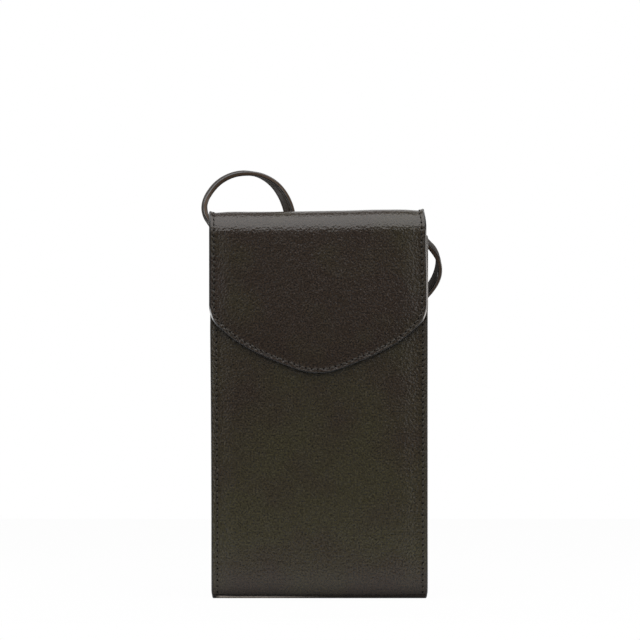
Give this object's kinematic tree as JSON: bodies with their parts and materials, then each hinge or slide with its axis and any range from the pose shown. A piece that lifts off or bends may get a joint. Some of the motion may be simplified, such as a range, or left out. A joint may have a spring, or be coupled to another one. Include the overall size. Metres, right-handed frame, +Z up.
{
  "type": "phone pouch",
  "caption": "Flat leather phone pouch with a fold-over pointed flap, hidden magnetic closure, recessed side gussets and a narrow shoulder strap gathered in a hank behind it.",
  "frame": {"origin": "on the ground under the middle of the pouch, strap left out", "axes": "+Z up towards the top fold, +X to the right seen from the front, front with the flap towards -Y"},
  "size_m": [0.1129, 0.0336, 0.1982],
  "materials": {
    "leather": "fine pebbled satin",
    "lining": "suede",
    "gusset_leather": "satin",
    "strap_leather": "satin",
    "tie_leather": "satin",
    "magnet": "nickel plate",
    "rivet": "antiqued"
  },
  "bodies": {
    "pouch": {"body_leather": "leather", "body_lining": "lining", "front_magnet": "magnet", "rear_fold_leather": "leather", "rear_fold_lining": "lining", "left_gusset": "gusset_leather", "right_gusset": "gusset_leather", "left_strap_tail": "strap_leather", "right_strap_tail": "strap_leather", "left_strap_rivet": "rivet", "right_strap_rivet": "rivet", "strap_left_run": "strap_leather", "strap_hank": "strap_leather", "strap_right_run": "strap_leather", "strap_tie": "tie_leather"},
    "crown": {"crown_leather": "leather", "crown_lining": "lining", "front_fold_leather": "leather", "front_fold_lining": "lining"},
    "flap": {"flap_leather": "leather", "flap_lining": "lining", "flap_magnet": "magnet"}
  },
  "joints": [
    {"name": "rear_fold", "type": "hinge", "parent": "pouch", "child": "crown", "pos_m": [0, 0.00615, 0.17715], "axis": [-1, 0, 0], "range_deg": [0, 90], "deforming": ["rear_fold_leather", "rear_fold_lining"]},
    {"name": "front_fold", "type": "hinge", "parent": "crown", "child": "flap", "pos_m": [0, -0.00615, 0.17715], "axis": [-1, 0, 0], "range_deg": [0, 90], "deforming": ["front_fold_leather", "front_fold_lining"]}
  ],
  "couplings": [
    {"joint": "front_fold", "follows": "rear_fold", "ratio": 1}
  ]
}
